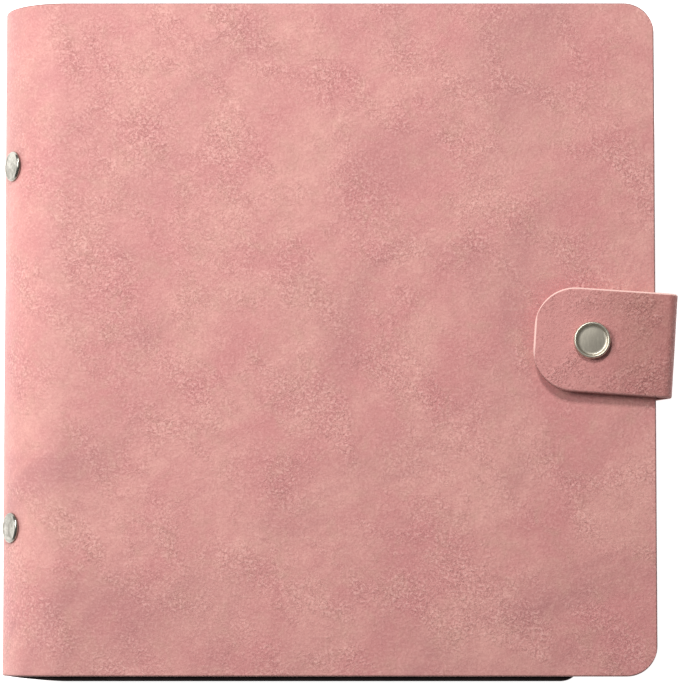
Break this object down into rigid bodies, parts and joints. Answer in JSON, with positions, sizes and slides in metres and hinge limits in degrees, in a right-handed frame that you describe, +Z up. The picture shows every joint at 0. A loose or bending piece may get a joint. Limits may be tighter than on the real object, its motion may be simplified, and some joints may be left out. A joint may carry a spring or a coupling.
{
  "type": "scrapbook album",
  "caption": "Soft leather scrapbook album with a riveted three-ring mechanism in its round spine, black card leaves and a snap strap over the fore edge.",
  "frame": {"origin": "centre of the back cover's flat underside, the face that the closed album rests on", "axes": "+Z up through the closed album, +X towards the fore edge and the strap, +Y towards the head of the album"},
  "size_m": [0.2668, 0.2668, 0.061],
  "materials": {
    "pink_leather": "matte dusty-pink leather with fine grain",
    "strap_leather": "matte dusty-pink leather, a little redder",
    "black_liner": "matte black suede",
    "black_card": "matte black card",
    "nickel": "satin nickel",
    "plated_steel": "bright nickel-plated steel"
  },
  "bodies": {
    "back_cover": {"back_cover_leather": "pink_leather", "back_cover_liner": "black_liner", "crease_back": "pink_leather", "strap_root": "strap_leather", "strap_bend_lower": "strap_leather"},
    "spine_lower": {"spine_lower_leather": "pink_leather", "spine_lower_liner": "black_liner", "crease_lower": "pink_leather"},
    "spine": {"spine_leather": "pink_leather", "spine_liner": "black_liner", "spine_rivet_tail": "nickel", "spine_rivet_head": "nickel", "ring_shield": "plated_steel", "booster_pin_tail": "plated_steel", "booster_pin_head": "plated_steel", "crease_front": "pink_leather"},
    "front_cover": {"front_cover_leather": "pink_leather", "front_cover_liner": "black_liner", "snap_stud": "nickel", "snap_post": "nickel"},
    "ring_lower": {"toggle_plate_lower": "plated_steel", "ring_lower_tail": "plated_steel", "ring_lower_middle": "plated_steel", "ring_lower_head": "plated_steel"},
    "ring_upper": {"toggle_plate_upper": "plated_steel", "ring_upper_tail": "plated_steel", "ring_upper_middle": "plated_steel", "ring_upper_head": "plated_steel"},
    "booster_tail": {"booster_tail": "plated_steel"},
    "booster_head": {"booster_head": "plated_steel"},
    "strap_riser": {"strap_riser": "strap_leather", "strap_bend_upper": "strap_leather"},
    "strap_flap": {"strap_flap": "strap_leather", "snap_cap": "nickel", "snap_socket": "nickel"},
    "page_01": {"page_01": "black_card"},
    "page_02": {"page_02": "black_card"},
    "page_03": {"page_03": "black_card"},
    "page_04": {"page_04": "black_card"},
    "page_05": {"page_05": "black_card"},
    "page_06": {"page_06": "black_card"},
    "page_07": {"page_07": "black_card"},
    "page_08": {"page_08": "black_card"},
    "page_09": {"page_09": "black_card"},
    "page_10": {"page_10": "black_card"},
    "page_11": {"page_11": "black_card"},
    "page_12": {"page_12": "black_card"},
    "page_13": {"page_13": "black_card"},
    "page_14": {"page_14": "black_card"},
    "page_15": {"page_15": "black_card"},
    "page_16": {"page_16": "black_card"},
    "page_17": {"page_17": "black_card"},
    "page_18": {"page_18": "black_card"},
    "page_19": {"page_19": "black_card"},
    "page_20": {"page_20": "black_card"}
  },
  "joints": [
    {"name": "album_open", "type": "hinge", "parent": "back_cover", "child": "spine_lower", "pos_m": [-0.12662, 0, 0.00287], "axis": [0, -1, 0], "range_deg": [0, 49.5], "deforming": ["crease_back"]},
    {"name": "spine_bend", "type": "hinge", "parent": "spine_lower", "child": "spine", "pos_m": [-0.14298, 0, 0.02496], "axis": [0, -1, 0], "range_deg": [0, 72.51], "deforming": ["crease_lower"]},
    {"name": "cover_bend", "type": "hinge", "parent": "spine", "child": "front_cover", "pos_m": [-0.12853, 0, 0.05051], "axis": [0, -1, 0], "range_deg": [0, 58.01], "deforming": ["crease_front"]},
    {"name": "page_01_turn", "type": "hinge", "parent": "spine", "child": "page_01", "pos_m": [-0.1155, 0, 0.027], "axis": [0, -1, 0], "range_deg": [-123.12, 0]},
    {"name": "page_02_turn", "type": "hinge", "parent": "spine", "child": "page_02", "pos_m": [-0.1155, 0, 0.027], "axis": [0, -1, 0], "range_deg": [-123.35, 0]},
    {"name": "page_03_turn", "type": "hinge", "parent": "spine", "child": "page_03", "pos_m": [-0.1155, 0, 0.027], "axis": [0, -1, 0], "range_deg": [-123.58, 0]},
    {"name": "page_04_turn", "type": "hinge", "parent": "spine", "child": "page_04", "pos_m": [-0.1155, 0, 0.027], "axis": [0, -1, 0], "range_deg": [-123.8, 0]},
    {"name": "page_05_turn", "type": "hinge", "parent": "spine", "child": "page_05", "pos_m": [-0.1155, 0, 0.027], "axis": [0, -1, 0], "range_deg": [-124.03, 0]},
    {"name": "page_06_turn", "type": "hinge", "parent": "spine", "child": "page_06", "pos_m": [-0.1155, 0, 0.027], "axis": [0, -1, 0], "range_deg": [-124.26, 0]},
    {"name": "page_07_turn", "type": "hinge", "parent": "spine", "child": "page_07", "pos_m": [-0.1155, 0, 0.027], "axis": [0, -1, 0], "range_deg": [-124.49, 0]},
    {"name": "page_08_turn", "type": "hinge", "parent": "spine", "child": "page_08", "pos_m": [-0.1155, 0, 0.027], "axis": [0, -1, 0], "range_deg": [-124.72, 0]},
    {"name": "page_09_turn", "type": "hinge", "parent": "spine", "child": "page_09", "pos_m": [-0.1155, 0, 0.027], "axis": [0, -1, 0], "range_deg": [-124.95, 0]},
    {"name": "page_10_turn", "type": "hinge", "parent": "spine", "child": "page_10", "pos_m": [-0.1155, 0, 0.027], "axis": [0, -1, 0], "range_deg": [-125.18, 0]},
    {"name": "page_11_turn", "type": "hinge", "parent": "spine", "child": "page_11", "pos_m": [-0.1155, 0, 0.027], "axis": [0, -1, 0], "range_deg": [0, 61.18]},
    {"name": "page_12_turn", "type": "hinge", "parent": "spine", "child": "page_12", "pos_m": [-0.1155, 0, 0.027], "axis": [0, -1, 0], "range_deg": [0, 60.95]},
    {"name": "page_13_turn", "type": "hinge", "parent": "spine", "child": "page_13", "pos_m": [-0.1155, 0, 0.027], "axis": [0, -1, 0], "range_deg": [0, 60.72]},
    {"name": "page_14_turn", "type": "hinge", "parent": "spine", "child": "page_14", "pos_m": [-0.1155, 0, 0.027], "axis": [0, -1, 0], "range_deg": [0, 60.49]},
    {"name": "page_15_turn", "type": "hinge", "parent": "spine", "child": "page_15", "pos_m": [-0.1155, 0, 0.027], "axis": [0, -1, 0], "range_deg": [0, 60.26]},
    {"name": "page_16_turn", "type": "hinge", "parent": "spine", "child": "page_16", "pos_m": [-0.1155, 0, 0.027], "axis": [0, -1, 0], "range_deg": [0, 60.03]},
    {"name": "page_17_turn", "type": "hinge", "parent": "spine", "child": "page_17", "pos_m": [-0.1155, 0, 0.027], "axis": [0, -1, 0], "range_deg": [0, 59.8]},
    {"name": "page_18_turn", "type": "hinge", "parent": "spine", "child": "page_18", "pos_m": [-0.1155, 0, 0.027], "axis": [0, -1, 0], "range_deg": [0, 59.58]},
    {"name": "page_19_turn", "type": "hinge", "parent": "spine", "child": "page_19", "pos_m": [-0.1155, 0, 0.027], "axis": [0, -1, 0], "range_deg": [0, 59.35]},
    {"name": "page_20_turn", "type": "hinge", "parent": "spine", "child": "page_20", "pos_m": [-0.1155, 0, 0.027], "axis": [0, -1, 0], "range_deg": [0, 59.12]},
    {"name": "ring_open", "type": "hinge", "parent": "spine", "child": "ring_lower", "pos_m": [-0.13842, 0, 0.03071], "axis": [0, 1, 0], "range_deg": [0, 5], "stiffness_Nm_per_rad": 0.3, "springref_deg": -2.86},
    {"name": "ring_upper_open", "type": "hinge", "parent": "spine", "child": "ring_upper", "pos_m": [-0.12888, 0, 0.04597], "axis": [0, -1, 0], "range_deg": [0, 5]},
    {"name": "booster_tail_press", "type": "hinge", "parent": "spine", "child": "booster_tail", "pos_m": [-0.13263, -0.121, 0.0377], "axis": [-0.5299, 0, -0.848], "range_deg": [0, 8]},
    {"name": "booster_head_press", "type": "hinge", "parent": "spine", "child": "booster_head", "pos_m": [-0.13263, 0.121, 0.0377], "axis": [0.5299, 0, 0.848], "range_deg": [0, 8]},
    {"name": "strap_fold", "type": "hinge", "parent": "back_cover", "child": "strap_riser", "pos_m": [0.10676, -0.00271, 0.00293], "axis": [0.0663, 0.9978, 0], "range_deg": [0, 74], "deforming": ["strap_bend_lower"]},
    {"name": "strap_lift", "type": "hinge", "parent": "strap_riser", "child": "strap_flap", "pos_m": [0.12171, -0.0037, 0.05689], "axis": [0.0663, 0.9978, 0], "range_deg": [0, 106], "deforming": ["strap_bend_upper"]}
  ],
  "couplings": [
    {"joint": "spine_bend", "follows": "album_open", "ratio": 1.4646},
    {"joint": "cover_bend", "follows": "album_open", "ratio": 1.1717},
    {"joint": "page_01_turn", "follows": "album_open", "ratio": -2.4871},
    {"joint": "page_02_turn", "follows": "album_open", "ratio": -2.4917},
    {"joint": "page_03_turn", "follows": "album_open", "ratio": -2.4963},
    {"joint": "page_04_turn", "follows": "album_open", "ratio": -2.5009},
    {"joint": "page_05_turn", "follows": "album_open", "ratio": -2.5055},
    {"joint": "page_06_turn", "follows": "album_open", "ratio": -2.5101},
    {"joint": "page_07_turn", "follows": "album_open", "ratio": -2.5148},
    {"joint": "page_08_turn", "follows": "album_open", "ratio": -2.5194},
    {"joint": "page_09_turn", "follows": "album_open", "ratio": -2.524},
    {"joint": "page_10_turn", "follows": "album_open", "ratio": -2.5286},
    {"joint": "page_11_turn", "follows": "album_open", "ratio": 1.2357},
    {"joint": "page_12_turn", "follows": "album_open", "ratio": 1.2311},
    {"joint": "page_13_turn", "follows": "album_open", "ratio": 1.2264},
    {"joint": "page_14_turn", "follows": "album_open", "ratio": 1.2218},
    {"joint": "page_15_turn", "follows": "album_open", "ratio": 1.2172},
    {"joint": "page_16_turn", "follows": "album_open", "ratio": 1.2126},
    {"joint": "page_17_turn", "follows": "album_open", "ratio": 1.208},
    {"joint": "page_18_turn", "follows": "album_open", "ratio": 1.2034},
    {"joint": "page_19_turn", "follows": "album_open", "ratio": 1.1987},
    {"joint": "page_20_turn", "follows": "album_open", "ratio": 1.1941},
    {"joint": "ring_upper_open", "follows": "ring_open", "ratio": 1},
    {"joint": "booster_tail_press", "follows": "ring_open", "ratio": 1.6},
    {"joint": "booster_head_press", "follows": "ring_open", "ratio": 1.6}
  ]
}
